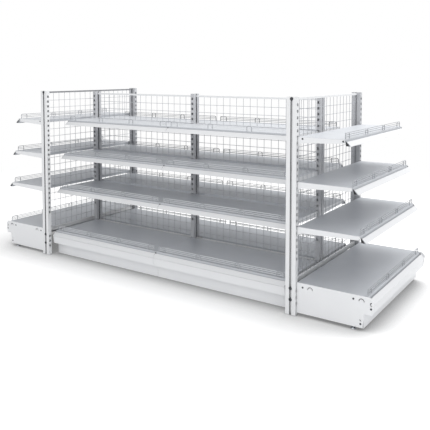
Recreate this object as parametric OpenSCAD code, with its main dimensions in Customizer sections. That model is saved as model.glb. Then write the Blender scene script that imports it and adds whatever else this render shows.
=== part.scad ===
// Gondola shelving: a double-sided run of two bays with a single-sided end unit
// across each end. Millimetres, +Z up, origin on the floor under the middle of the
// run, +X along the run. Decks hang on tapered brackets in slotted uprights.

/* [Bays] */
// Width of one bay of the run, between the centres of its uprights
bay_w = 1080; // [900:10:1200]
// How much wider an end unit is than the run is deep
end_margin = 22; // [10:1:60]
// Gap between the run's last upright and the frame of an end unit
end_gap = 4; // [2:1:12]
// Gap between the decks of two bays side by side
bay_gap = 2; // [1:0.5:4]
// How much higher the end units' uprights and kick plates reach than the run's
end_lift = 18; // [0:1:30]

/* [Uprights] */
// Height of the run's uprights
run_post_h = 1347; // [1320:1:1600]
// Depth of an upright, across its wide face
post_depth = 70; // [60:1:90]
// Width of an upright, across its slotted face
post_w = 32; // [28:1:40]
// Sheet thickness of an upright
post_wall = 2.3; // [1.6:0.1:3.2]
// Width of the groove down the wide face
groove_w = 15; // [6:1:16]
// Depth of the groove down the wide face
groove_depth = 13; // [8:0.5:13.5]
// Width of the groove behind its lips
groove_in_w = 26; // [18:1:36]
// Distance between two slots
slot_pitch = 40; // [36:1:42]
// Width of a slot
slot_w = 18; // [11:0.5:20]
// Height of a slot
slot_h = 18; // [15:1:22]
// How far a shelf's upper slots lie below its deck
hook_drop = 4; // [4:1:12]
// Least distance from the top slot to the top of an upright
slot_margin = 25; // [15:1:60]
// How many slots are left out above the base
plain_slots = 4; // [0:1:5]
// How far below the run's base decks that plain stretch starts
plain_below = 20; // [10:1:30]

/* [Shelf levels] */
// Height of the run's base decks above the floor
base_top = 198; // [186:1:230]
// How much higher the end units' base decks lie than the run's
end_base_lift = 12; // [0:1:24]
// How far the run's base decks lie above the slot level that its shelves count from
base_rise = 6; // [0:1:12]
// How much higher the end units' shelves hang than the run's
end_shelf_lift = 9; // [0:1:30]
// Low shelf, in slots above that level
low_slots = 9; // [8:1:9]
// Middle shelf, in slots above that level
mid_slots = 16; // [15:1:17]
// Top shelf, in slots above that level
top_slots = 23; // [22:1:24]
// Depth of the base deck in front of the uprights
base_depth = 450; // [430:10:600]
// Depth of the low shelf in front of the uprights
low_depth = 400; // [350:10:450]
// Depth of the middle shelf in front of the uprights
mid_depth = 350; // [300:10:450]
// Depth of the top shelf in front of the uprights
top_depth = 300; // [250:10:400]

/* [Decks] */
// Sheet thickness of decks, kick plates and panels
sheet = 1.2; // [0.8:0.1:2]
// Depth of the folds under a deck's ends and back edge
fold_h = 22; // [16:1:26]
// Width of the stiffening channel under a deck
rib_w = 60; // [30:5:90]
// Depth of the stiffening channel under a deck
rib_h = 16; // [10:1:20]
// How far the price rail's lower edge stands out past the nominal depth
rail_out = 44; // [38:1:54]
// How far the price rail's strip slopes outwards
rail_slope = 26; // [16:1:32]
// How far the price rail's upper edge lies below the deck
rail_down = 12; // [4:1:16]
// How far the price rail's lower edge lies below the deck
rail_drop = 39; // [34:1:44]
// Width of the open channel between the deck and the price rail's upper edge
channel_w = 12; // [6:1:16]
// Width of the channel's floor
channel_floor = 32; // [24:1:34]
// Thickness of the black plugs in the ends of a price rail
cap_t = 4; // [2:0.5:8]
// How far a plug stays back from the price rail's lower edge
cap_in = 9; // [4:1:14]

/* [Wire guards] */
// Height of a guard above its deck
guard_h = 38; // [30:1:60]
// Diameter of the guard's hoops
hoop_wire = 5; // [4:0.5:6]
// Diameter of the guard's long wires
long_wire = 3.5; // [2.5:0.5:4]
// Width of the two outer hoops
hoop_w = 58; // [45:1:90]
// Width of the two middle hoops
mid_hoop_w = 38; // [34:1:80]
// Bend radius at the top of a hoop
hoop_r = 12; // [8:1:20]
// Distance from the hoops to the deck's front edge
guard_inset = 5; // [4:1:30]
// Distance from a guard's outermost legs to the ends of its deck
guard_end = 20; // [10:1:40]

/* [Brackets] */
// Plate thickness of a shelf bracket
bracket_t = 3; // [2:0.5:3.5]
// Height of a shelf bracket at its front end
bracket_nose = 24; // [18:1:30]
// Height of a shelf bracket where its lower edge starts to curve
bracket_heel = 38; // [34:1:46]
// Height of the curve that runs down to the upright
bracket_curve = 24; // [22:1:34]
// Height of a hook in its slot
hook_h = 9; // [7:1:10]
// How far a hook reaches into the upright
hook_in = 9; // [7:1:12]
// How far a hook's tongue hangs down inside the upright
hook_tongue = 5; // [3:1:5]

/* [Wire back panels] */
// Size of a square cell of the mesh
cell = 60; // [40:5:100]
// Diameter of the mesh wires
mesh_wire = 3.4; // [2.4:0.2:4.4]
// Height of the top rails
rail_h = 14; // [10:1:24]
// Height of the bottom rails
low_rail_h = 30; // [20:1:40]
// Depth of the top and bottom rails
rail_d = 12; // [8:1:20]
// Distance from the run's top rails up to the tops of its uprights
run_rail_drop = 12; // [0:1:40]
// Distance from an end unit's top rail up to the tops of its uprights
end_rail_drop = 6; // [0:1:40]
// Distance from the run's base decks down to the bottom rail's lower edge
low_rail_drop = 32; // [20:1:90]
// Distance from an end unit's base deck down to the bottom rail's lower edge
end_low_rail_drop = 22; // [20:1:90]

/* [Base] */
// Height of a base leg
leg_h = 140; // [110:1:145]
// Width of a base leg's flanges
leg_w = 42; // [40:1:60]
// Sheet thickness of a base leg
leg_t = 2.3; // [1.6:0.1:3.2]
// Height of the bumper under the base price rail
bumper_h = 58; // [40:1:60]
// Gap between the base price rail and the bumper
bumper_gap = 3; // [2:1:12]
// How far the bumper's upper edge lies behind the price rail's lower edge
bumper_back = 5; // [2:1:14]
// How far the bumper leans in towards its lower edge
bumper_lean = 7; // [0:1:14]
// Thickness of the black caps on the run's bumpers
bumper_cap_t = 8; // [3:1:15]
// How far the kick plate lies behind the price rail's lower edge
kick_in = 60; // [50:1:75]
// Gap under the run's kick plates
kick_clear = 3; // [2:1:15]
// Depth of the fold along a kick plate's lower edge
kick_fold = 18; // [10:1:30]
// How far a side panel stands past the deck and the bumper
panel_edge = 2; // [1:1:6]
// Size of the cut corner of a side panel, beside the price rail
panel_corner = 22; // [10:1:30]
// How far a side panel leans in below the bumper
panel_lean = 7; // [0:1:12]
// Height of a levelling foot's pad
foot_h = 7; // [5:1:12]
// How far a levelling foot's rod reaches up into its leg
foot_up = 25; // [10:1:40]
// Diameter of a levelling foot's pad
foot_d = 36; // [24:1:38]
// Diameter at the top of a levelling foot's pad
foot_top_d = 26; // [14:1:38]
// Diameter of a levelling foot's threaded rod
foot_rod = 10; // [8:1:12]
// Distance from the nominal base depth back to the levelling feet
foot_in = 85; // [70:1:120]

/* [Fasteners] */
// Diameter of the round bolt heads in the grooves of the end uprights
bolt_d = 22; // [16:1:26]
// Diameter of the screw heads on brackets and side panels
screw_d = 12; // [8:1:16]
// How far a bolt head stands out
bolt_proud = 4; // [2:0.5:6]
// How far a side panel's screw head stands out
screw_proud = 2; // [1:0.5:3]
// Distance from the top of an end upright down to its top bolt
bolt_down = 12; // [12:1:30]
// Distance from a base leg's lower edge up to its lower bolt
bolt_up = 30; // [15:1:40]
// Distance between the two bolts of a base leg
bolt_step = 71; // [40:1:90]
// Distance from an end unit's top deck down to the screws of its brackets
screw_down = 12; // [8:1:15]
// Distance from an upright to the rear screw of a bracket
screw_in = 33; // [25:1:60]
// Distance from the nominal depth back to the front screw of a bracket
screw_back = 5; // [0:1:30]
// Distance from a deck down to the upper screws of a side panel
mark_down = 24; // [18:1:30]
// Distance from the upright to the first screw of a side panel
mark_in = 42; // [30:1:60]
// Distance between the two upper screws of a side panel
mark_step = 328; // [250:1:360]
// Distance from an upper screw of a side panel to its curved slot
arc_away = 50; // [34:1:60]
// Bend radius of a curved slot beside an upper screw
arc_r = 16; // [10:1:20]
// Distance from a deck down to the front screw of a side panel
nose_down = 65; // [55:1:75]
// Distance from the price rail's lower edge back to the front screw of a side panel
nose_in = 16; // [14:1:24]
// Distance from the lower edge of a side panel up to its lowest screw
toe_up = 23; // [12:1:40]
// Distance from the kick plate back to the lowest screw of a side panel
toe_in = 19; // [12:1:40]
// Distance from the front and lowest screws to their curved slots
small_arc_away = 27; // [20:1:32]
// Bend radius of a curved slot beside the front and lowest screws
small_arc_r = 9; // [7:1:12]
// Width of a curved slot
arc_w = 6; // [3:1:8]

/* [Hidden] */
$fn = 40;
// Reach of a cut past the face that it opens
eps = 0.01;
// Air between two wires, and between a plug and its rail
wire_air = 0.2;
// Gap between a bracket's or a deck fold's front end and the price rail's channel
bracket_air = 2;
// Size of the cut corner at a bracket's front end
bracket_cut = 10;
// Gap between a hook's tongue and the upright's wall
hook_slack = 1.5;
// Gap between a deck's end fold and its bracket or base leg
leg_air = 1.5;
// Width of the channel's upper strip that is joined to the deck
rail_lap = 12;
// Gap round a levelling foot's rod in its leg
rod_clearance = 0.2;
// Gap between a side panel and the end of its bay
panel_clearance = 0.3;

// The six faces that carry shelves, each with its own decks
FACES = ["front_left", "front_right", "back_left", "back_right", "end_left", "end_right"];
// The four levels, lowest first
LEVELS = ["base", "low", "mid", "top"];
// The pieces that stay fixed when decks are lifted off
FIXED = ["run_uprights", "end_uprights", "run_mesh_panels", "end_mesh_panels",
    "cross_rails", "shelf_brackets", "base_legs", "kick_plates", "bumpers",
    "side_panels", "levelling_feet", "bolts_and_screws"];

WHITE = [0.93, 0.94, 0.95];
GREY = [0.72, 0.74, 0.77];
STEEL = [0.66, 0.67, 0.69];
BLACK = [0.1, 0.1, 0.11];

half_post = post_depth / 2;
end_post_h = run_post_h + end_lift;
// Distance from the middle of the run to the end uprights, and the width of an end unit
end_x = bay_w + post_w / 2 + end_gap + half_post;
end_w = 2 * (half_post + base_depth + rail_out) + end_margin;

function is_end(f) = f == "end_left" || f == "end_right";
function lift(f) = is_end(f) ? end_lift : 0;
function width(f) = is_end(f) ? end_w : bay_w;
function level_slots(l) = l == "low" ? low_slots : l == "mid" ? mid_slots : l == "top" ? top_slots : 0;
function deck_top(f, l) = base_top + (l == "base" ? (is_end(f) ? end_base_lift : 0)
    : (is_end(f) ? end_shelf_lift : 0) - base_rise + level_slots(l) * slot_pitch);
function depth(l) = l == "low" ? low_depth : l == "mid" ? mid_depth : l == "top" ? top_depth : base_depth;
// Distance from an upright's centre to the lower edge of the price rail
function reach(l) = half_post + depth(l) + rail_out;
// Distance from an upright's centre to the front edge of a deck's flat top
function front(l) = reach(l) - rail_slope - channel_w;
// Distance from an upright's centre to the kick plate's face
function kick_y() = reach("base") - kick_in;
// Height of the bumper's upper edge below the base deck
function bumper_top() = -rail_drop - bumper_gap;

// The points of a sheet folded along a path, its thickness laid to the left of it
function unit(v) = v / norm(v);
function left_of(a, b) = let (u = unit(b - a)) [-u[1], u[0]];
function corner(p, n, m, t) = p + (n + m) * t / (1 + n * m);
function folded(p, t) = let (last = len(p) - 1) concat(p, [for (i = [last:-1:0])
    i == 0 ? p[0] + left_of(p[0], p[1]) * t
    : i == last ? p[last] + left_of(p[last - 1], p[last]) * t
    : corner(p[i], left_of(p[i - 1], p[i]), left_of(p[i], p[i + 1]), t)]);

// Puts a bay's pieces on one face: X along the bay, Y outwards, from an upright's centre
module on_face(f) {
    if (f == "front_left") rotate(180) children();
    if (f == "front_right") translate([bay_w, 0, 0]) rotate(180) children();
    if (f == "back_left") translate([-bay_w, 0, 0]) children();
    if (f == "back_right") children();
    if (f == "end_left") translate([-end_x, -end_w / 2, 0]) rotate(90) children();
    if (f == "end_right") translate([end_x, end_w / 2, 0]) rotate(-90) children();
}

// Draws a piece at one end of a face and its mirror image at the other
module both_ends(f) {
    children();
    translate([width(f), 0, 0]) mirror([1, 0, 0]) children();
}

// Draws a section of Y and Z along X, from x to x + length
module along_x(x, length) {
    translate([x, 0, 0]) rotate([90, 0, 90]) linear_extrude(length) children();
}

// A deck of one folded sheet: back fold, top, channel and sloping price rail
module deck(f, l) {
    z = deck_top(f, l);
    r = reach(l);
    back = half_post + bay_gap;
    inset = leg_air + (l == "base" ? leg_w : bracket_t);
    rib_y = back + (r - back - rail_out) / 2;
    flat = front(l) - bracket_air - back;
    w = width(f) - bay_gap;
    color(GREY) on_face(f) translate([bay_gap / 2, 0, z]) {
        along_x(0, w)
            polygon(folded([[r - rail_slope, -rail_down], [r, -rail_drop], [r - channel_floor, -rail_drop],
                [front(l), -sheet], [front(l) - rail_lap, -sheet]], -sheet));
        translate([0, back, -sheet]) cube([w, flat, sheet]);
        for (x = [inset, w - inset - sheet]) translate([x, back, -fold_h]) cube([sheet, flat, fold_h]);
        translate([inset, back, -fold_h]) cube([w - 2 * inset, sheet, fold_h]);
        along_x(inset, w - 2 * inset) polygon(folded([[rib_y - rib_w / 2, -sheet],
            [rib_y - rib_w / 2, -rib_h], [rib_y + rib_w / 2, -rib_h], [rib_y + rib_w / 2, -sheet]], sheet));
    }
}

// The points of a shape with straight sides, each side moved inwards by t
function inside(p, t) = let (n = len(p)) [for (i = [0:n - 1])
    corner(p[i], left_of(p[(i + n - 1) % n], p[i]), left_of(p[i], p[(i + 1) % n]), t)];

// A black plug in the end of a price rail's channel, inside its sheet
module rail_plug(l) {
    r = reach(l);
    along_x(0, cap_t) polygon(inside([[front(l), -sheet], [r - channel_floor, -rail_drop],
        [r - cap_in, -rail_drop]], sheet + wire_air));
}

// One hoop of width w: two legs joined by a straight top through two quarter bends
module hoop(w) {
    rise = guard_h - hoop_wire / 2;
    for (side = [-1, 1]) translate([side * w / 2, 0, 0]) {
        cylinder(d = hoop_wire, h = rise - hoop_r);
        translate([-side * hoop_r, 0, rise - hoop_r]) rotate([90, 0, 0])
            rotate(side > 0 ? 0 : 90) rotate_extrude(angle = 90)
            translate([hoop_r, 0]) circle(d = hoop_wire);
    }
    translate([-w / 2 + hoop_r, 0, rise]) rotate([0, 90, 0]) cylinder(d = hoop_wire, h = w - 2 * hoop_r);
}

// A wire guard on a deck: four hoops, three long wires and the rail's two plugs
module guard(f, l) {
    z = deck_top(f, l);
    y = front(l) - guard_inset;
    first = bay_gap / 2 + guard_end + (hoop_wire + hoop_w) / 2;
    span = width(f) - 2 * first;
    wire_y = y - (hoop_wire + long_wire) / 2 - wire_air;
    on_face(f) translate([0, 0, z]) {
        color(STEEL) {
            for (i = [0, 3]) translate([first + span * i / 3, y, 0]) hoop(hoop_w);
            for (i = [1, 2]) translate([first + span * i / 3, y, 0]) hoop(mid_hoop_w);
            for (i = [1:3]) translate([first - hoop_w / 2, wire_y, (guard_h - hoop_wire / 2) * i / 3])
                rotate([0, 90, 0]) cylinder(d = long_wire, h = span + hoop_w);
        }
        color(BLACK) both_ends(f) translate([bay_gap / 2, 0, 0]) rail_plug(l);
    }
}

// Heights of the slots of an upright, which has a plain stretch above the base: its top
// is at h, one slot at height at
function slots(h, at) = let (low = at - floor(at / slot_pitch - 1) * slot_pitch,
                             plain = base_top - plain_below)
    [for (z = [low:slot_pitch:h - slot_h / 2 - slot_margin])
        if (z < plain || z >= plain + plain_slots * slot_pitch) z];

// An upright: a closed chamber behind each slotted face, a lipped groove down each wide
// face, a solid core between the grooves and two rows of slots
module upright(h, at) {
    core = post_w / 2 - groove_depth;
    inner = post_w / 2 - post_wall;
    chamber = half_post - 2 * post_wall - groove_in_w / 2;
    difference() {
        linear_extrude(h) difference() {
            square([post_w, post_depth], center = true);
            for (side = [-1, 1]) {
                translate([-inner, side * (half_post - post_wall - chamber / 2) - chamber / 2])
                    square([2 * inner, chamber]);
                translate([side * (core + inner) / 2, 0]) square([inner - core, groove_in_w], center = true);
                translate([side * (post_w - groove_depth) / 2, 0])
                    square([groove_depth + eps, groove_w], center = true);
            }
        }
        for (z = slots(h, at), side = [-1, 1])
            translate([-slot_w / 2, side * half_post - post_wall, z - slot_h / 2])
            cube([slot_w, 2 * post_wall, slot_h]);
    }
}

module run_uprights() {
    color(WHITE) for (i = [-1:1]) translate([i * bay_w, 0, 0])
        upright(run_post_h, deck_top("front_left", "top") - hook_drop);
}

module end_uprights() {
    color(WHITE) for (sx = [-1, 1], sy = [-1, 1]) translate([sx * end_x, sy * end_w / 2, 0])
        rotate(90) upright(end_post_h, deck_top("end_left", "top") - hook_drop);
}

// Clear width between the two uprights of a back panel
function clear_w(f) = width(f) - post_w;
// Free distance kept beside the outermost mesh wires
mesh_margin = 10;

function top_rail_z(f) = (is_end(f) ? end_post_h - end_rail_drop : run_post_h - run_rail_drop) - rail_h;
function low_rail_z(f) = deck_top(f, "base") - (is_end(f) ? end_low_rail_drop : low_rail_drop);

// The wires of one back panel, between its bottom rail and its top rail
module mesh_panel(f) {
    low = low_rail_z(f) + low_rail_h;
    high = top_rail_z(f);
    across = floor((clear_w(f) - 2 * mesh_margin) / cell);
    up = floor((high - low - mesh_margin) / cell);
    side = (mesh_wire + wire_air) / 2;
    on_face(f) {
        for (i = [0:across]) translate([width(f) / 2 + (i - across / 2) * cell, side, low])
            cylinder(d = mesh_wire, h = high - low);
        for (i = [1:up]) translate([post_w / 2, -side, high - i * cell])
            rotate([0, 90, 0]) cylinder(d = mesh_wire, h = clear_w(f));
    }
}

module run_mesh_panels() { color(WHITE) for (f = ["back_left", "back_right"]) mesh_panel(f); }

module end_mesh_panels() { color(WHITE) for (f = ["end_left", "end_right"]) mesh_panel(f); }

// A rail between the two uprights of a back panel: a tube in the run, and in an end unit
// a channel that is open towards the run
module cross_rail(f, z, h) {
    wall = is_end(f) ? -eps : sheet;
    along_x(post_w / 2, clear_w(f)) difference() {
        translate([-rail_d / 2, z]) square([rail_d, h]);
        translate([-rail_d / 2 + wall, z + sheet]) square([rail_d - sheet - wall, h - 2 * sheet]);
    }
}

module cross_rails() {
    color(WHITE) for (f = ["back_left", "back_right", "end_left", "end_right"]) on_face(f) {
        cross_rail(f, top_rail_z(f), rail_h);
        cross_rail(f, low_rail_z(f), low_rail_h);
    }
}

// A shelf bracket: a tapered plate with a curved heel and two hooks, top edge at Z 0
module bracket(l) {
    heel_y = half_post + bay_gap / 2;
    heel_z = -bracket_heel - bracket_curve;
    tip = front(l) - bracket_air;
    along_x(bay_gap / 2, bracket_t) {
        difference() {
            polygon([[heel_y, 0], [tip, 0], [tip, bracket_cut - bracket_nose],
                [tip - bracket_cut, -bracket_nose], [heel_y + bracket_curve, -bracket_heel],
                [heel_y + bracket_curve, heel_z], [heel_y, heel_z]]);
            translate([heel_y + bracket_curve, heel_z]) circle(r = bracket_curve - bracket_t);
        }
        for (i = [0, 1]) translate([half_post - hook_in, sheet - hook_drop - i * slot_pitch - slot_h / 2]) {
            square([hook_in + bay_gap / 2 + bracket_t, hook_h]);
            translate([0, -hook_tongue])
                square([hook_in - post_wall - hook_slack, hook_tongue + hook_h / 2]);
        }
    }
}

module shelf_brackets() {
    color(WHITE) for (f = FACES, l = ["low", "mid", "top"]) on_face(f)
        translate([0, 0, deck_top(f, l) - sheet]) both_ends(f) bracket(l);
}

// A base leg: a channel that opens into the bay, its top flange under the base deck; an
// end unit's legs have the side panel's upper curved slots too, for its hooks
module base_leg(f) {
    top = deck_top(f, "base") - sheet;
    length = kick_y() - sheet - half_post;
    translate([bay_gap / 2, half_post, top - leg_h]) difference() {
        cube([leg_w, length, leg_h]);
        translate([leg_t, -eps, leg_t]) cube([leg_w, length + 2 * eps, leg_h - 2 * leg_t]);
        translate([leg_w / 2, base_depth - foot_in, -eps])
            cylinder(d = foot_rod + 2 * rod_clearance, h = leg_t + 2 * eps);
    }
}

module base_legs() {
    color(WHITE) for (f = FACES) on_face(f) both_ends(f) difference() {
        base_leg(f);
        if (is_end(f)) for (i = [0, 1]) curved_slot(marks()[i], bay_gap / 2, leg_t);
    }
}

// A levelling foot: a round pad on the floor and its threaded rod up through the leg
module levelling_feet() {
    color(STEEL) for (f = FACES) on_face(f) both_ends(f)
        translate([bay_gap / 2 + leg_w / 2, half_post + base_depth - foot_in, 0]) {
            cylinder(d1 = foot_d, d2 = foot_top_d, h = foot_h);
            cylinder(d = foot_rod, h = deck_top(f, "base") - sheet - leg_h + foot_up);
        }
}

module kick_plates() {
    color(WHITE) for (f = FACES) on_face(f) along_x(bay_gap / 2, width(f) - bay_gap)
        polygon(folded([[kick_y() - kick_fold, kick_clear + lift(f)], [kick_y(), kick_clear + lift(f)],
            [kick_y(), deck_top(f, "base") + bumper_top()]], sheet));
}

// Section of a bumper, from the kick plate out and back, below a deck at z
function bumper_path(z) = let (front = reach("base") - bumper_back, high = z + bumper_top())
    [[kick_y(), high - bumper_h], [front - bumper_lean, high - bumper_h], [front, high], [kick_y(), high]];

// The bumper under each base price rail, with black caps at the run's outer ends
module bumpers() {
    for (f = FACES) on_face(f) {
        z = deck_top(f, "base");
        caps = is_end(f) ? [0, 0] : f == "front_left" || f == "back_right" ? [0, 1] : [1, 0];
        w = width(f) - bay_gap;
        color(WHITE) along_x(bay_gap / 2 + caps[0] * bumper_cap_t, w - (caps[0] + caps[1]) * bumper_cap_t)
            polygon(folded(bumper_path(z), sheet));
        color(BLACK) for (i = [0, 1]) if (caps[i] == 1)
            along_x(bay_gap / 2 + i * (w - bumper_cap_t), bumper_cap_t) polygon(bumper_path(z));
    }
}

// Outer face of a side panel, from the upright's centre along the end of the bay
panel_x = bay_gap / 2 - panel_clearance - sheet;

// Screws of a side panel: distance from the upright's centre, height, then the turn,
// distance and bend radius of the curved slot beside each
function marks() = let (z = deck_top("end_left", "base"), y = half_post + mark_in)
    [[y, z - mark_down, 0, arc_away, arc_r], [y + mark_step, z - mark_down, 0, arc_away, arc_r],
    [reach("base") - nose_in, z - nose_down, 90, small_arc_away, small_arc_r],
    [kick_y() - toe_in, kick_clear + end_lift + toe_up, 90, small_arc_away, small_arc_r]];

// A side panel closes each side of an end unit's base, its nose round the bumper
module side_panel() {
    low = kick_clear + end_lift;
    high = deck_top("end_left", "base") + panel_edge;
    nose = high + bumper_top() - bumper_h - 2 * panel_edge;
    front = reach("base") + panel_edge;
    heel = front - bumper_back - bumper_lean;
    toe = kick_y() + panel_edge;
    difference() {
        along_x(panel_x, sheet) polygon([[half_post + panel_edge / 2, low], [toe - panel_lean, low],
            [toe, nose], [heel, nose], [front, high - panel_corner], [front - panel_corner, high],
            [half_post + panel_edge / 2, high]]);
        for (m = marks()) curved_slot(m, panel_x, sheet);
    }
}

// The curved slot beside screw m, in a sheet of thickness t at x; the panel hooks on there
module curved_slot(m, x, t) {
    r = m[4];
    translate([0, m[0], m[1]]) rotate([m[2], 0, 0]) along_x(x - eps, t + 2 * eps)
        translate([m[3], -r / 2]) difference() {
            circle(r = r + arc_w / 2);
            circle(r = r - arc_w / 2);
            translate([-2 * r, -3 * r]) square([4 * r, 3 * r]);
        }
}

module side_panels() {
    color(WHITE) for (f = ["end_left", "end_right"]) on_face(f) both_ends(f) side_panel();
}

// A round bolt or screw head, its axis along X
module head(d, t) { rotate([0, 90, 0]) cylinder(d = d, h = t); }

module bolts_and_screws() {
    leg_z = deck_top("end_left", "base") - sheet - leg_h;
    color(BLACK) for (f = ["end_left", "end_right"]) on_face(f) both_ends(f) {
        for (z = [end_post_h - bolt_down, leg_z + bolt_up, leg_z + bolt_up + bolt_step])
            translate([-post_w / 2 - bolt_proud, 0, z]) head(bolt_d, bolt_proud);
        for (m = marks()) translate([panel_x - screw_proud, m[0], m[1]]) head(screw_d, screw_proud);
        for (y = [half_post + screw_in, half_post + top_depth - screw_back])
            translate([0, y, deck_top(f, "top") - screw_down]) head(screw_d, bay_gap / 2);
    }
}

for (f = FACES, l = LEVELS) {
    deck(f, l);
    guard(f, l);
}
run_uprights();
end_uprights();
run_mesh_panels();
end_mesh_panels();
cross_rails();
shelf_brackets();
base_legs();
kick_plates();
bumpers();
side_panels();
levelling_feet();
bolts_and_screws();
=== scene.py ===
# Gondola shelving: the finishes, wire guards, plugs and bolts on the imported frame
import math

import bmesh
import bpy
from mathutils import Matrix, Vector

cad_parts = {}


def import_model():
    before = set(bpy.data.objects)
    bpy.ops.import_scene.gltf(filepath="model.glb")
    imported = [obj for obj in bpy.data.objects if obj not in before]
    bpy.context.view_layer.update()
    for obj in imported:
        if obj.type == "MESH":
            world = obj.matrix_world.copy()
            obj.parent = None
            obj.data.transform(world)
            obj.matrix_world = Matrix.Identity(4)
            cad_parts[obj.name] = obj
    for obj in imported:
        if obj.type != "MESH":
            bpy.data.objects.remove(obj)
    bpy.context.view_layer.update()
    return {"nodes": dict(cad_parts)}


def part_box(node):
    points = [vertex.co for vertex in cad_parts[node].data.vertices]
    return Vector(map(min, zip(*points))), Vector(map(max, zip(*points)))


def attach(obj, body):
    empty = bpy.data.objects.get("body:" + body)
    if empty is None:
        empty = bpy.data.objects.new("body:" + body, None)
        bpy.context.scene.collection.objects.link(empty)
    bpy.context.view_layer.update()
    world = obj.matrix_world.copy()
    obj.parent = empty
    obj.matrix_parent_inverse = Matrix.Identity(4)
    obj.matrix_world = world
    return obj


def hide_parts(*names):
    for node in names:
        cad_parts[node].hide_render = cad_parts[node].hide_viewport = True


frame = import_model()

MM = 0.001

# The camera, fitted to the corners of the posts in the photograph
CAMERA_EYE = Vector((2.816, -3.883, 1.511))
CAMERA_YAW = math.radians(34.04)
CAMERA_PITCH = math.radians(3.17)
CAMERA_LENS = 50.55
CAMERA_SENSOR = 36
CAMERA_SHIFT = -0.2523

# Each face's direction outwards, away from its posts
OUTWARD = {
    "front_left": Vector((0, -1, 0)),
    "front_right": Vector((0, -1, 0)),
    "back_left": Vector((0, 1, 0)),
    "back_right": Vector((0, 1, 0)),
    "end_left": Vector((-1, 0, 0)),
    "end_right": Vector((1, 0, 0)),
}
LEVELS = ["base", "low", "mid", "top"]

# The wire guards, in millimetres: their height above the deck, the thicknesses of their wires, the
# widths of their end and middle hoops, and the radius of the hoops' bends
GUARD_H = 38
HOOP_WIRE = 5
LONG_WIRE = 3.5
END_HOOP_W = 58
MID_HOOP_W = 38
HOOP_R = 12
# Distance from a deck's end to the guard, and from the price rail's lower edge back to the hoops
GUARD_END = 20
GUARD_BACK = 43
# How far a long wire is pressed into the hoops where they are welded
WELD_SINK = 0.4
# Each hoop's place, as a share of the way from the deck's middle to the end hoops, and its width
HOOPS = [(-1, END_HOOP_W), (-1 / 3, MID_HOOP_W), (1 / 3, MID_HOOP_W), (1, END_HOOP_W)]
LONG_WIRES = 3
BEND_STEPS = 8
WIRE_SIDES = 12
# A wire's rounded cut end, as shares of its radius: how long the rounding is, and how wide the end
CUT_ROUND = 0.35
CUT_WIDE = 0.6

# The plugs of the price rails, in millimetres: the corners of the triangle inside the rail's
# sheet, outwards from the rail's lower edge and up from the deck, then the plug's thickness, how
# far inside that triangle it stays, and how round its outer edges are
PLUG_CORNERS = [(-38, -1.2), (-9, -39), (-32, -39)]
PLUG_T = 4
PLUG_INSET = 1.4
PLUG_ROUND = 0.7

# The posts further forward than this, and all rails but the left end unit's top rail, show their
# white coat, and the others greys that are painted shade; each is a direction and a distance in
# metres. Then their white
UNSHADED_POSTS = ((0, -1, 0), 0.4)
UNSHADED_RAILS = ((1, 0, -0.5), -1.76)
NEAR_WHITE = "E7E8E9"
# How far the posts' coat looks round itself for a groove or slot, in metres, and the shares of open
# air there at which the painted shade in the groove starts and is full
GROOVE_REACH = 0.016
GROOVE_STARTS = 0.75
GROOVE_FULL = 0.35
# The price rail is the deck's only sloping face: its normal rises or falls this much, give or take
RAIL_SLOPE = 0.7
RAIL_SLOPE_SPAN = 0.15

# A bolt head is wider than this, and a screw head is narrower, in millimetres
BOLT_FROM = 18
# The outline of a head's dome, from its seat up, as shares of its radius and of its height
DOME = [(1, 0), (1, 0.35), (0.95, 0.62), (0.82, 0.85), (0.64, 0.97)]
HEAD_SIDES = 48
# The widths of a bolt's hexagon and of a screw's cross, as shares of the head's, how much wider
# the dome's flat top is, and how deep both are, as a share of the head's height
BOLT_SOCKET = 0.36
SCREW_CROSS = 0.55
RECESS_RIM = 1.35
RECESS_DEPTH = 0.6
# The width of a cross's arms, as a share of their length
CROSS_ARM = 0.3

# Faces that meet at more than this angle have a sharp edge
SHARP_ANGLE = math.radians(40)
# Points of a mesh closer than this are one, in millimetres
SAME_POINT = 0.01

# The studio: the floor's radius, where it starts and ends fading to white and how far the shadow
# painted close round the object reaches on it, all in metres, then the share of open air at which
# that painted shadow is full and its grey, and the strengths of the floor's glow and of the light all
# round
FLOOR_R = 14
FLOOR_SIDES = 96
FADE_FROM = 2.4
FADE_TO = 5.5
SHADOW_REACH = 0.34
SHADOW_FULL = 0.2
SHADOW_GREY = "404143"
FLOOR_GLOW = 0.2
WORLD_LIGHT = 0.85
WHITE = (1, 1, 1, 1)
# The square soft lights: name, place, the point it looks at, width in metres and power in watts
SOFT_LIGHTS = [
    ("front_light", (0.6, -3.4, 1.9), (0, 0, 0.7), 3, 20),
    ("top_light", (1.8, 1.4, 4), (0, 0, 0), 3, 95),
    ("side_light", (4.4, -1, 2.2), (1.2, 0, 0.7), 2.4, 4),
]


def linear(hex_colour):
    """An sRGB hex colour as linear red, green, blue and alpha."""
    parts = [int(hex_colour[i:i + 2], 16) / 255 for i in (0, 2, 4)]
    return tuple(c / 12.92 if c <= 0.04045 else ((c + 0.055) / 1.055) ** 2.4 for c in parts) + (1,)


def add(tree, kind, settings={}, links={}):
    """Adds a node. Settings are its properties and its sockets' values, and links are the outputs
    that feed its sockets."""
    node = tree.nodes.new(kind)
    for name, value in settings.items():
        if isinstance(name, str) and hasattr(node, name):
            setattr(node, name, value)
        else:
            node.inputs[name].default_value = value
    for name, output in links.items():
        tree.links.new(output, node.inputs[name])
    return node


def new_material(name):
    """An empty material, its node tree and the object coordinates that its patterns use."""
    material = bpy.data.materials.new(name)
    material.use_nodes = True
    tree = material.node_tree
    tree.nodes.clear()
    return material, tree, add(tree, "ShaderNodeTexCoord").outputs["Object"]


def per_metre(millimetres):
    """The scale of a noise whose grains are about that wide."""
    return 1 / (millimetres * MM)


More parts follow.
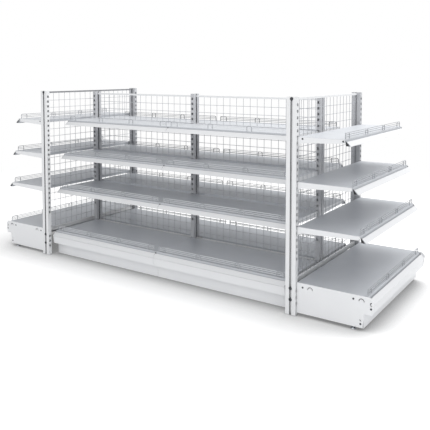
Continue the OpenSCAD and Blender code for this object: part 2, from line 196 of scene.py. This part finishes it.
def powder_coat(name, thin, thick, unshaded_from=None, painted_groove_shade=None):
    """Polyester powder coat on steel: a clean satin with a faint orange peel. Given a direction and a
    distance in metres, the parts further out that way are white, as the photograph shows the near ones,
    and the rest keep the thin and thick greys as painted shade. Given a groove grey, the coat is
    darkened by it in slots and grooves as painted shade."""
    material, tree, place = new_material(name)
    # The cloudiness is wide and weak, as a sprayed coat has where it is a little thinner
    cloud = add(tree, "ShaderNodeTexNoise", {"Scale": per_metre(260), "Detail": 3}, {"Vector": place})
    tone = add(tree, "ShaderNodeMix", {"data_type": "RGBA", 6: linear(thin), 7: linear(thick)},
               {0: cloud.outputs["Fac"]})
    # Parts past the distance are white; the others keep the greys, which are painted shade
    if unshaded_from:
        along = add(tree, "ShaderNodeVectorMath", {"operation": "DOT_PRODUCT", 1: unshaded_from[0]},
                    {0: place})
        near = add(tree, "ShaderNodeMath", {"operation": "GREATER_THAN", 1: unshaded_from[1]},
                   {0: along.outputs["Value"]})
        tone = add(tree, "ShaderNodeMix", {"data_type": "RGBA", 7: linear(NEAR_WHITE)},
                   {0: near.outputs[0], 6: tone.outputs[2]})
    if painted_groove_shade:
        # Painted shade: the coat is darkened by the groove grey in slots and grooves, the less open air
        # round them the more
        open_to_air = add(tree, "ShaderNodeAmbientOcclusion", {"Distance": GROOVE_REACH, "samples": 8})
        deep = add(tree, "ShaderNodeMapRange", {"From Min": GROOVE_STARTS, "From Max": GROOVE_FULL},
                   {"Value": open_to_air.outputs["AO"]})
        tone = add(tree, "ShaderNodeMix", {"data_type": "RGBA", "blend_type": "MULTIPLY",
                                           7: linear(painted_groove_shade)},
                   {0: deep.outputs["Result"], 6: tone.outputs[2]})
    # Orange peel is about 1.5 mm across, drawn at 4 mm so that it breaks up the highlights
    peel = add(tree, "ShaderNodeTexNoise", {"Scale": per_metre(4), "Detail": 2}, {"Vector": place})
    rough = add(tree, "ShaderNodeMapRange", {"To Min": 0.36, "To Max": 0.48},
                {"Value": peel.outputs["Fac"]})
    bump = add(tree, "ShaderNodeBump", {"Strength": 0.12, "Distance": 0.03 * MM},
               {"Height": peel.outputs["Fac"]})
    shader = add(tree, "ShaderNodeBsdfPrincipled", {"IOR": 1.5},
                 {"Base Color": tone.outputs[2], "Roughness": rough.outputs["Result"],
                  "Normal": bump.outputs["Normal"]})
    add(tree, "ShaderNodeOutputMaterial", {}, {"Surface": shader.outputs["BSDF"]})
    return material


def deck_powder_coat():
    """Powder coat of the decks: a grey satin, and white on the price rail, their only sloping face."""
    material, tree, place = new_material("grey_powder_coated_deck")
    facing = add(tree, "ShaderNodeSeparateXYZ", {},
                 {"Vector": add(tree, "ShaderNodeTexCoord").outputs["Normal"]})
    level = add(tree, "ShaderNodeMath", {"operation": "ABSOLUTE"}, {0: facing.outputs["Z"]})
    rail = add(tree, "ShaderNodeMath", {"operation": "COMPARE", 1: RAIL_SLOPE, 2: RAIL_SLOPE_SPAN},
               {0: level.outputs[0]})
    cloud = add(tree, "ShaderNodeTexNoise", {"Scale": per_metre(180), "Detail": 4}, {"Vector": place})
    grey = add(tree, "ShaderNodeMix", {"data_type": "RGBA", 6: linear("BEC1C6"), 7: linear("C8CBD0")},
               {0: cloud.outputs["Fac"]})
    tone = add(tree, "ShaderNodeMix", {"data_type": "RGBA", 7: linear("DDDEE0")},
               {0: rail.outputs[0], 6: grey.outputs[2]})
    # Rubbing by goods leaves soft patches about 25 mm wide that shine a little more
    rub = add(tree, "ShaderNodeTexNoise", {"Scale": per_metre(25), "Detail": 5}, {"Vector": place})
    rough = add(tree, "ShaderNodeMapRange", {"To Min": 0.38, "To Max": 0.5},
                {"Value": rub.outputs["Fac"]})
    peel = add(tree, "ShaderNodeTexNoise", {"Scale": per_metre(4), "Detail": 2}, {"Vector": place})
    bump = add(tree, "ShaderNodeBump", {"Strength": 0.1, "Distance": 0.03 * MM},
               {"Height": peel.outputs["Fac"]})
    shader = add(tree, "ShaderNodeBsdfPrincipled", {"IOR": 1.4},
                 {"Base Color": tone.outputs[2], "Roughness": rough.outputs["Result"],
                  "Normal": bump.outputs["Normal"]})
    add(tree, "ShaderNodeOutputMaterial", {}, {"Surface": shader.outputs["BSDF"]})
    return material


def coated_wire(name, thin, thick):
    """Wire dipped in a plastic coat: satin, softly beaded along its length."""
    material, tree, place = new_material(name)
    # The coat runs into soft beads about 12 mm long
    bead = add(tree, "ShaderNodeTexNoise", {"Scale": per_metre(12), "Detail": 2}, {"Vector": place})
    tone = add(tree, "ShaderNodeMix", {"data_type": "RGBA", 6: linear(thin), 7: linear(thick)},
               {0: bead.outputs["Fac"]})
    bump = add(tree, "ShaderNodeBump", {"Strength": 0.2, "Distance": 0.1 * MM},
               {"Height": bead.outputs["Fac"]})
    shader = add(tree, "ShaderNodeBsdfPrincipled", {"Roughness": 0.38, "IOR": 1.5},
                 {"Base Color": tone.outputs[2], "Normal": bump.outputs["Normal"]})
    add(tree, "ShaderNodeOutputMaterial", {}, {"Surface": shader.outputs["BSDF"]})
    return material


def zinc_steel():
    """Passivated zinc on the turned steel feet: a grey metal with a soft, mottled shine."""
    material, tree, place = new_material("passivated_zinc_steel")
    spangle = add(tree, "ShaderNodeTexVoronoi", {"Scale": per_metre(3)}, {"Vector": place})
    tone = add(tree, "ShaderNodeMix", {"data_type": "RGBA", 6: linear("A9ADB3"), 7: linear("C3C6CB")},
               {0: spangle.outputs["Distance"]})
    shader = add(tree, "ShaderNodeBsdfPrincipled", {"Metallic": 1, "Roughness": 0.4},
                 {"Base Color": tone.outputs[2]})
    add(tree, "ShaderNodeOutputMaterial", {}, {"Surface": shader.outputs["BSDF"]})
    return material


def black_nylon():
    """Moulded black nylon: near black, with the fine spark-eroded texture of its mould."""
    material, tree, place = new_material("moulded_black_nylon")
    # The mould's texture is about 0.2 mm, drawn at 0.8 mm
    grain = add(tree, "ShaderNodeTexNoise", {"Scale": per_metre(0.8), "Detail": 2}, {"Vector": place})
    tone = add(tree, "ShaderNodeMix", {"data_type": "RGBA", 6: linear("161719"), 7: linear("26272A")},
               {0: grain.outputs["Fac"]})
    bump = add(tree, "ShaderNodeBump", {"Strength": 0.3, "Distance": 0.05 * MM},
               {"Height": grain.outputs["Fac"]})
    shader = add(tree, "ShaderNodeBsdfPrincipled", {"Roughness": 0.5, "IOR": 1.53},
                 {"Base Color": tone.outputs[2], "Normal": bump.outputs["Normal"]})
    add(tree, "ShaderNodeOutputMaterial", {}, {"Surface": shader.outputs["BSDF"]})
    return material


def black_oxide():
    """Blackened steel of the bolts and screws: a dark grey metal with a dull oily shine."""
    material, tree, place = new_material("black_oxide_steel")
    patch = add(tree, "ShaderNodeTexNoise", {"Scale": per_metre(2), "Detail": 3}, {"Vector": place})
    tone = add(tree, "ShaderNodeMix", {"data_type": "RGBA", 6: linear("34363A"), 7: linear("4A4C50")},
               {0: patch.outputs["Fac"]})
    shader = add(tree, "ShaderNodeBsdfPrincipled", {"Metallic": 0.6, "Roughness": 0.42},
                 {"Base Color": tone.outputs[2]})
    add(tree, "ShaderNodeOutputMaterial", {}, {"Surface": shader.outputs["BSDF"]})
    return material


def dress_nodes(finishes):
    """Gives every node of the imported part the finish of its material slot."""
    for node in frame["nodes"].values():
        for slot in node.material_slots:
            slot.material = finishes[slot.material.name.split(".")[0]]


def piece(name, bm, material, body):
    """Makes a smooth-shaded object of a mesh, which takes its finish from a slot and rides on a body."""
    mesh = bpy.data.meshes.new(name)
    bm.to_mesh(mesh)
    bm.free()
    mesh.materials.append(material)
    made = bpy.data.objects.new(name, mesh)
    bpy.context.scene.collection.objects.link(made)
    mesh.shade_smooth()
    made.modifiers.new("edges", "EDGE_SPLIT").split_angle = SHARP_ANGLE
    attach(made, body)
    return made


def ring(bm, points):
    """Adds a closed loop of vertices."""
    return [bm.verts.new(p) for p in points]


def skin(bm, rings, caps=True):
    """Joins loops of vertices with faces, and closes the first and the last."""
    count = len(rings[0])
    for a, b in zip(rings, rings[1:]):
        for i in range(count):
            j = (i + 1) % count
            bm.faces.new((a[i], a[j], b[j], b[i]))
    if caps:
        bm.faces.new(rings[0][::-1])
        bm.faces.new(rings[-1])


def wire(bm, path, diameter, across):
    """Adds a round wire along a flat path; across is the direction square to the path's plane."""
    radius = diameter / 2
    last = len(path) - 1
    turns = [2 * math.pi * k / WIRE_SIDES for k in range(WIRE_SIDES)]
    # At each point of the path, the rings' shifts along it and their widths, as shares of the radius
    cuts = {0: [(0, CUT_WIDE), (CUT_ROUND, 1)], last: [(-CUT_ROUND, 1), (0, CUT_WIDE)]}
    rings = []
    for i, point in enumerate(path):
        along = (path[min(i + 1, last)] - path[max(i - 1, 0)]).normalized()
        up = along.cross(across)
        for shift, share in cuts.get(i, [(0, 1)]):
            centre = point + along * radius * shift
            rings.append(ring(bm, [centre + (across * math.cos(t) + up * math.sin(t)) * radius * share
                                   for t in turns]))
    skin(bm, rings)


def hoop_path(middle, y, width):
    """The centre line of a hoop: up one leg, round two bends and down the other."""
    rise = GUARD_H - HOOP_WIRE / 2
    path = [Vector((middle - width / 2, y, 0))]
    for side, start in ((-1, 180), (1, 90)):
        centre = Vector((middle + side * (width / 2 - HOOP_R), y, rise - HOOP_R))
        for step in range(BEND_STEPS + 1):
            turn = math.radians(start - 90 * step / BEND_STEPS)
            path.append(centre + Vector((math.cos(turn), 0, math.sin(turn))) * HOOP_R)
    return path + [Vector((middle + width / 2, y, 0))]


def deck_place(face, level):
    """A matrix from millimetres on a deck to the frame, and the deck's width: X runs along the bay from
    the deck's middle, Y outwards from the price rail's lower edge, and Z up from the deck's top."""
    low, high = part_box(f"deck_{face}_{level}")
    out = OUTWARD[face]
    along = Vector((out.y, -out.x, 0))
    reach = (high - low) / 2
    middle = (low + high) / 2 + out * abs(out.dot(reach))
    middle.z = high.z
    turn = Matrix((along, out, Vector((0, 0, 1)))).transposed().to_4x4()
    return Matrix.Translation(middle) @ turn @ Matrix.Scale(MM, 4), 2 * abs(along.dot(reach)) / MM


def guard(face, level, hoop_painted_shade, long_wire_coat_and_painted_shade):
    """The wire guard of a deck: its hoops, and the long wires welded behind them."""
    place, width = deck_place(face, level)
    hoops, wires = bmesh.new(), bmesh.new()
    reach = width / 2 - GUARD_END - (HOOP_WIRE + END_HOOP_W) / 2
    across = Vector((0, 1, 0))
    for share, hoop_w in HOOPS:
        wire(hoops, hoop_path(share * reach, -GUARD_BACK, hoop_w), HOOP_WIRE, across)
    back = -GUARD_BACK - (HOOP_WIRE + LONG_WIRE) / 2 + WELD_SINK
    end = reach + END_HOOP_W / 2
    for i in range(1, LONG_WIRES + 1):
        z = (GUARD_H - HOOP_WIRE / 2) * i / LONG_WIRES
        wire(wires, [Vector((-end, back, z)), Vector((end, back, z))], LONG_WIRE, across)
    # The hoops' greys, and the long wires' greys at the ends and back, are painted shade
    for name, bm, coat in (("hoops", hoops, hoop_painted_shade), ("long_wires", wires, long_wire_coat_and_painted_shade)):
        bm.transform(place)
        made = piece(f"guard_{name}_{face}_{level}", bm, coat, f"shelf_{face}_{level}")
        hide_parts(f"guard_{face}_{level}")


def rail_plugs(face, level, nylon):
    """The two black plugs in the ends of a price rail, each a triangle with rounded edges."""
    place, width = deck_place(face, level)
    bm = bmesh.new()
    a, b, c = corners = [Vector(corner) for corner in PLUG_CORNERS]
    # The centre and radius of the circle that touches all three sides
    legs = [(b - c).length, (c - a).length, (a - b).length]
    middle = (legs[0] * a + legs[1] * b + legs[2] * c) / sum(legs)
    round_r = abs((b - a).cross(c - a)) / sum(legs)
    for side in (-1, 1):
        rings = []
        for depth, inset in ((0, PLUG_INSET + PLUG_ROUND), (PLUG_ROUND, PLUG_INSET),
                             (PLUG_T, PLUG_INSET)):
            share = 1 - inset / round_r
            x = side * (width / 2 - depth)
            rings.append(ring(bm, [Vector((x, *middle.lerp(corner, share))) for corner in corners]))
        skin(bm, rings)
    bmesh.ops.recalc_face_normals(bm, faces=bm.faces)
    bm.transform(place)
    made = piece(f"rail_plugs_{face}_{level}", bm, nylon, f"shelf_{face}_{level}")
    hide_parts(f"guard_{face}_{level}")


def islands(mesh):
    """The lowest and highest corner of each separate solid of a mesh."""
    bm = bmesh.new()
    bm.from_mesh(mesh)
    bmesh.ops.remove_doubles(bm, verts=bm.verts, dist=SAME_POINT * MM)
    left = set(bm.verts)
    boxes = []
    while left:
        group, todo = set(), [left.pop()]
        while todo:
            vert = todo.pop()
            group.add(vert)
            near = [e.other_vert(vert) for e in vert.link_edges]
            todo += [v for v in near if v in left]
            left -= set(near)
        spans = [[v.co[k] for v in group] for k in range(3)]
        boxes.append((Vector([min(s) for s in spans]), Vector([max(s) for s in spans])))
    bm.free()
    return boxes


def hex_socket(turn):
    """The reach of a hexagon in one direction, as a share of its least reach."""
    return 1 / math.cos((turn % (math.pi / 3)) - math.pi / 6)


def cross_recess(turn):
    """The reach of a cross in one direction, as a share of the length of its arms."""
    narrow, wide = sorted((abs(math.cos(turn)), abs(math.sin(turn))))
    return 1 / max(wide, narrow / CROSS_ARM)


def head(bm, low, high, recess, share):
    """Adds a domed head in a box whose thin side is Y, with a recess a share of its radius wide."""
    middle = (low + high) / 2
    out = 1 if middle.y > 0 else -1
    base = low.y if out > 0 else high.y
    radius = (high.x - low.x) / 2
    rise = high.y - low.y
    turns = [2 * math.pi * k / HEAD_SIDES for k in range(HEAD_SIDES)]
    rings = []
    for size, height in DOME + [(share * RECESS_RIM, 1)]:
        rings.append((base + out * rise * height, [radius * size] * HEAD_SIDES))
    for height in (1, 1 - RECESS_DEPTH):
        rings.append((base + out * rise * height, [radius * share * recess(t) for t in turns]))
    loops = [ring(bm, [Vector((middle.x + r * math.cos(t), y, middle.z + r * math.sin(t)))
                       for r, t in zip(radii, turns)]) for y, radii in rings]
    skin(bm, loops)


def heads(oxide):
    """The bolts in the posts' grooves and the screws of the brackets and side panels."""
    node = frame["nodes"]["bolts_and_screws"]
    bolts, screws = bmesh.new(), bmesh.new()
    for low, high in islands(node.data):
        if high.x - low.x > BOLT_FROM * MM:
            head(bolts, low, high, hex_socket, BOLT_SOCKET)
        else:
            head(screws, low, high, cross_recess, SCREW_CROSS)
    for name, bm in (("upright_bolts", bolts), ("small_screws", screws)):
        bmesh.ops.recalc_face_normals(bm, faces=bm.faces)
        made = piece(name, bm, oxide, "frame")
        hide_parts("bolts_and_screws")


def floor():
    """A pale floor that keeps the object's soft shadow near it, with a darker shadow painted into its
    colour close round the object, and fades to white further off.
    """
    material, tree, place = new_material("white_studio_floor")
    far = add(tree, "ShaderNodeVectorMath", {"operation": "LENGTH"}, {0: place})
    fade = add(tree, "ShaderNodeMapRange", {"From Min": FADE_FROM, "From Max": FADE_TO},
               {"Value": far.outputs["Value"]})
    seen = add(tree, "ShaderNodeLightPath")
    camera_or_gloss = add(tree, "ShaderNodeMath", {"operation": "MAXIMUM"},
                          {0: seen.outputs["Is Camera Ray"], 1: seen.outputs["Is Glossy Ray"]})
    lit = add(tree, "ShaderNodeBsdfDiffuse", {"Color": linear("E6E7E9")})
    # The shadow that the photograph shows is short and dark, close round the object: it is painted here
    # as a grey in the floor's colour, the less open air the darker
    open_to_air = add(tree, "ShaderNodeAmbientOcclusion", {"Distance": SHADOW_REACH, "samples": 16})
    clear = add(tree, "ShaderNodeMapRange", {"From Min": SHADOW_FULL},
                {"Value": open_to_air.outputs["AO"]})
    tone = add(tree, "ShaderNodeMix", {"data_type": "RGBA", 6: linear(SHADOW_GREY), 7: WHITE},
               {0: clear.outputs["Result"]})
    shaded = add(tree, "ShaderNodeBsdfDiffuse", {}, {"Color": tone.outputs[2]})
    glow = add(tree, "ShaderNodeEmission", {"Color": WHITE, "Strength": FLOOR_GLOW})
    both = add(tree, "ShaderNodeAddShader", {}, {0: shaded.outputs[0], 1: glow.outputs[0]})
    white = add(tree, "ShaderNodeEmission", {"Color": WHITE, "Strength": 1})
    shown = add(tree, "ShaderNodeMixShader", {}, {0: fade.outputs["Result"], 1: both.outputs[0],
                                                  2: white.outputs[0]})
    plain = add(tree, "ShaderNodeMixShader", {}, {0: camera_or_gloss.outputs[0], 1: lit.outputs[0],
                                                  2: shown.outputs[0]})
    add(tree, "ShaderNodeOutputMaterial", {}, {"Surface": plain.outputs[0]})
    bm = bmesh.new()
    bmesh.ops.create_circle(bm, cap_ends=True, radius=FLOOR_R, segments=FLOOR_SIDES)
    mesh = bpy.data.meshes.new("floor")
    bm.to_mesh(mesh)
    bm.free()
    mesh.materials.append(material)
    ground = bpy.data.objects.new("floor", mesh)
    bpy.context.scene.collection.objects.link(ground)


def world():
    """A white studio: plain soft light all round, seen as pure white."""
    made = bpy.data.worlds.new("studio")
    made.use_nodes = True
    tree = made.node_tree
    tree.nodes.clear()
    seen = add(tree, "ShaderNodeLightPath")
    first = add(tree, "ShaderNodeMath", {"operation": "MAXIMUM"},
                {0: seen.outputs["Is Camera Ray"], 1: seen.outputs["Is Glossy Ray"]})
    second = add(tree, "ShaderNodeMath", {"operation": "MAXIMUM"},
                 {0: first.outputs[0], 1: seen.outputs["Is Transmission Ray"]})
    light = add(tree, "ShaderNodeBackground", {"Color": WHITE, "Strength": WORLD_LIGHT})
    white = add(tree, "ShaderNodeBackground", {"Color": WHITE, "Strength": 1})
    mixed = add(tree, "ShaderNodeMixShader", {}, {0: second.outputs[0], 1: light.outputs[0],
                                                  2: white.outputs[0]})
    add(tree, "ShaderNodeOutputWorld", {}, {"Surface": mixed.outputs[0]})
    bpy.context.scene.world = made


def soft_light(name, location, target, size, power):
    """A square soft light that looks at a point."""
    data = bpy.data.lights.new(name, "AREA")
    data.size = size
    data.energy = power
    light = bpy.data.objects.new(name, data)
    light.location = location
    light.rotation_mode = "QUATERNION"
    light.rotation_quaternion = (Vector(target) - Vector(location)).to_track_quat("-Z", "Y")
    bpy.context.scene.collection.objects.link(light)


def camera():
    """The photograph's camera."""
    data = bpy.data.cameras.new("camera")
    data.lens = CAMERA_LENS
    data.sensor_width = CAMERA_SENSOR
    data.shift_y = CAMERA_SHIFT
    made = bpy.data.objects.new("camera", data)
    made.location = CAMERA_EYE
    made.rotation_euler = (math.pi / 2 - CAMERA_PITCH, 0, CAMERA_YAW)
    bpy.context.scene.collection.objects.link(made)
    bpy.context.scene.camera = made


finishes = {
    "white_powder_coat": powder_coat("white_powder_coated_steel", "E5E6E8", "EDEEEF"),
    "powder_coated_deck": deck_powder_coat(),
    # The mesh wire's coat is white; its grey here is painted shade
    "coated_mesh_wire": coated_wire("mesh_wire_painted_shade_grey", "AFB1B5", "BFC1C5"),
    "guard_wire": coated_wire("white_coated_guard_wire", "D2D4D8", "E2E4E6"),
    "zinc_steel": zinc_steel(),
    "black_plastic": black_nylon(),
}
dress_nodes(finishes)
# The rear posts' grey is painted shade on their white coat, and the grey in grooves and slots is painted
# shade too
posts_coat_with_painted_shade = powder_coat("white_posts_with_painted_shade_grey", "BCBDC0", "C6C7CA", UNSHADED_POSTS, "818386")
for name in ("run_uprights", "end_uprights"):
    frame["nodes"][name].material_slots[0].material = posts_coat_with_painted_shade
# Painted shade: the left end unit's top rail is grey, and the other rails show their white coat
frame["nodes"]["cross_rails"].material_slots[0].material = powder_coat(
    "white_rails_with_painted_shade_grey", "B2B3B6", "BCBDC0", UNSHADED_RAILS)
# For each side, the coats of a guard's hoops and of its long wires. The front's long wires show the
# guard wire's white coat; the greys of all hoops and of the ends' and back's long wires are painted
# shade, darkest at the back against the light
hoop_painted_shade_coat = coated_wire("pale_grey_coated_guard_wire", "A2A5AA", "B8BABE")
guard_coats_and_painted_shade = {"front": (hoop_painted_shade_coat, finishes["guard_wire"]),
               "end": (hoop_painted_shade_coat, coated_wire("grey_coated_guard_wire", "8A8D92", "A0A3A8")),
               "back": (coated_wire("dark_grey_coated_guard_hoops", "505358", "66696E"),
                        coated_wire("dark_grey_coated_guard_wire", "62656A", "787B80"))}
for face in OUTWARD:
    for level in LEVELS:
        guard(face, level, *guard_coats_and_painted_shade[face.split("_")[0]])
        rail_plugs(face, level, finishes["black_plastic"])
heads(black_oxide())
floor()
world()
for light in SOFT_LIGHTS:
    soft_light(*light)
camera()
bpy.context.scene.view_settings.view_transform = "Standard"
